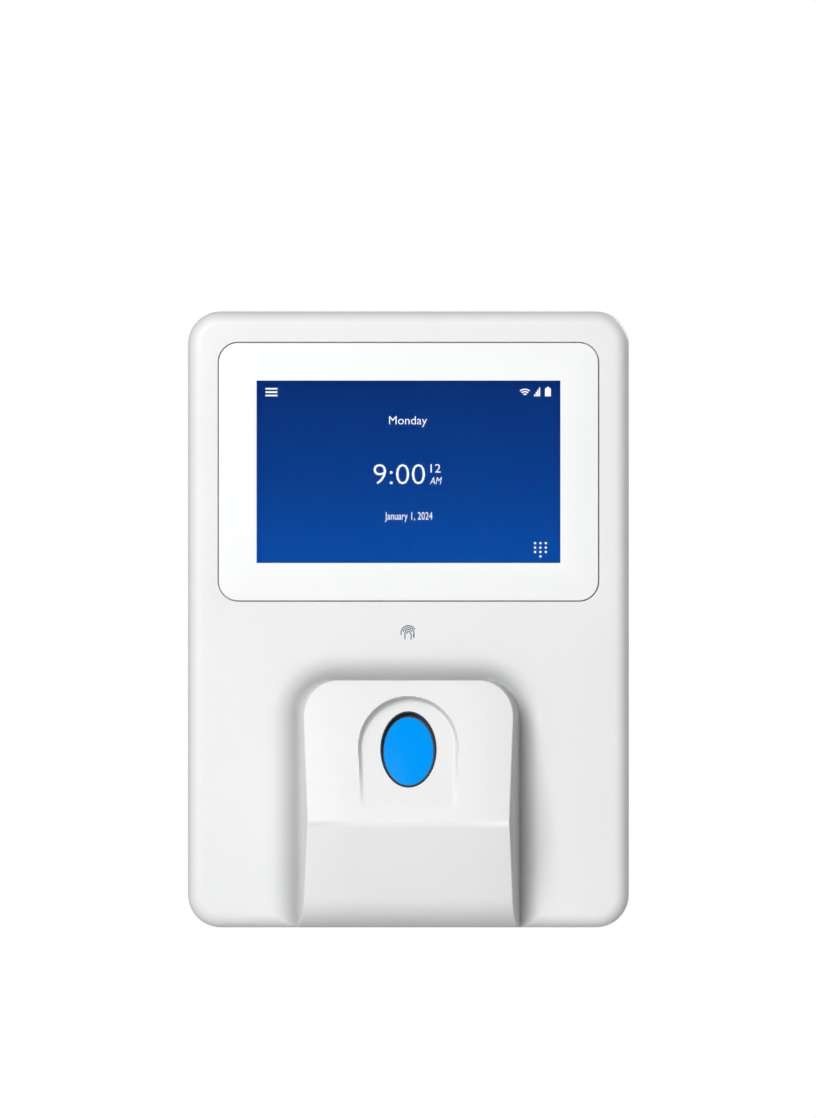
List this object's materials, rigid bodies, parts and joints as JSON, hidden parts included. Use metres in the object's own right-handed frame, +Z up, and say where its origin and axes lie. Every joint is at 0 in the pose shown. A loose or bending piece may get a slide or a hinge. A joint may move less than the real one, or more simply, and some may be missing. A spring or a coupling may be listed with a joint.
{
  "type": "fingerprint scanner terminal",
  "caption": "Wall-mounted fingerprint terminal: white casing, glass-fronted picture panel, and a sloped scanner housing with a finger recess over a lit oval window.",
  "frame": {"origin": "on the wall plane at the back of the wall bracket, level with the middle of the casing's width and height", "axes": "+Z up, +X to the right as seen from the front, +Y into the wall; the front faces -Y"},
  "size_m": [0.136, 0.051, 0.19],
  "materials": {
    "shell_white": "fine moulded texture",
    "shell_back": "fine moulded texture",
    "cover_glass": "polished, white printed border",
    "black_gloss": "polished",
    "sensor_glow": "lit from inside",
    "lit_picture": "lit picture",
    "clear_glass": "polished",
    "zinc_plate": "zinc plated",
    "screw_steel": "nickel plated",
    "washer_black": "nylon",
    "insert_brass": "turned",
    "board_green": "solder mask",
    "chip_black": "moulded",
    "can_metal": "pressed",
    "capacitor_sleeve": "sleeved",
    "foam_grey": "closed-cell foam",
    "flex_amber": "film",
    "ribbon_cream": "film",
    "block_green": "moulded",
    "relay_blue": "moulded",
    "light_guide": "polished",
    "switch_black": "moulded",
    "plunger_cream": "moulded",
    "lead_red": "insulation",
    "lead_black": "insulation"
  },
  "bodies": {
    "bracket": {"wall_bracket": "zinc_plate"},
    "terminal": {"front_cover": "shell_white", "rear_case": "shell_back", "scanner_housing": "shell_white", "cover_glass": "cover_glass", "glass_tape": "foam_grey", "touch_sensor": "clear_glass", "lcd_foam": "foam_grey", "lcd_frame": "can_metal", "lcd_panel": "lit_picture", "lcd_backlight": "light_guide", "lcd_chassis": "can_metal", "chassis_screws": "screw_steel", "lcd_flex": "flex_amber", "sensor_ring": "black_gloss", "sensor_window": "sensor_glow", "sensor_prism": "clear_glass", "sensor_body": "switch_black", "sensor_board": "board_green", "sensor_camera": "chip_black", "sensor_leds": "light_guide", "sensor_screws": "screw_steel", "sensor_ribbon": "ribbon_cream", "main_board": "board_green", "board_screws": "screw_steel", "board_chips": "chip_black", "processor_can": "can_metal", "board_capacitors": "capacitor_sleeve", "ribbon_sockets": "ribbon_cream", "network_socket": "can_metal", "power_jack": "switch_black", "wiring_block": "block_green", "wiring_screws": "screw_steel", "door_relay": "relay_blue", "clock_cell": "screw_steel", "cell_holder": "switch_black", "usb_socket": "can_metal", "usb_flap_pin": "screw_steel", "speaker": "switch_black", "speaker_foam": "foam_grey", "speaker_leads": "lead_red", "wifi_aerial": "flex_amber", "aerial_lead": "lead_black", "tamper_switch": "switch_black", "tamper_spring": "screw_steel", "reset_switch": "switch_black", "case_screws": "screw_steel", "case_inserts": "insert_brass", "housing_screws": "screw_steel"},
    "lock_washer": {"lock_washer": "washer_black"},
    "lock_screw": {"lock_screw": "screw_steel"},
    "usb_flap": {"usb_flap": "shell_white"},
    "tamper_plunger": {"tamper_plunger": "plunger_cream"},
    "reset_button": {"reset_button": "switch_black"}
  },
  "joints": [
    {"name": "terminal_lift", "type": "slide", "parent": "bracket", "child": "terminal", "axis": [0, 0, 1], "range_m": [0, 0.008]},
    {"name": "lock_advance", "type": "slide", "parent": "bracket", "child": "lock_washer", "axis": [0, 0, -1], "range_m": [0, 0.006]},
    {"name": "lock_turn", "type": "hinge", "parent": "lock_washer", "child": "lock_screw", "pos_m": [0, -0.008, -0.0926], "axis": [0, 0, -1], "range_deg": [0, 4325]},
    {"name": "usb_flap_swing", "type": "hinge", "parent": "terminal", "child": "usb_flap", "pos_m": [-0.0669, -0.02245, -0.01395], "axis": [0, 1, 0], "range_deg": [0, 100]},
    {"name": "tamper_press", "type": "slide", "parent": "terminal", "child": "tamper_plunger", "axis": [0, -1, 0], "range_m": [0, 0.0015], "stiffness_N_per_m": 250, "springref_m": -0.001, "deforming": ["tamper_spring"]},
    {"name": "reset_press", "type": "slide", "parent": "terminal", "child": "reset_button", "axis": [0, 0, 1], "range_m": [0, 0.0005], "stiffness_N_per_m": 1200, "springref_m": -0.0002}
  ],
  "couplings": [
    {"joint": "lock_turn", "follows": "lock_advance", "rad_per_m": 12566}
  ]
}
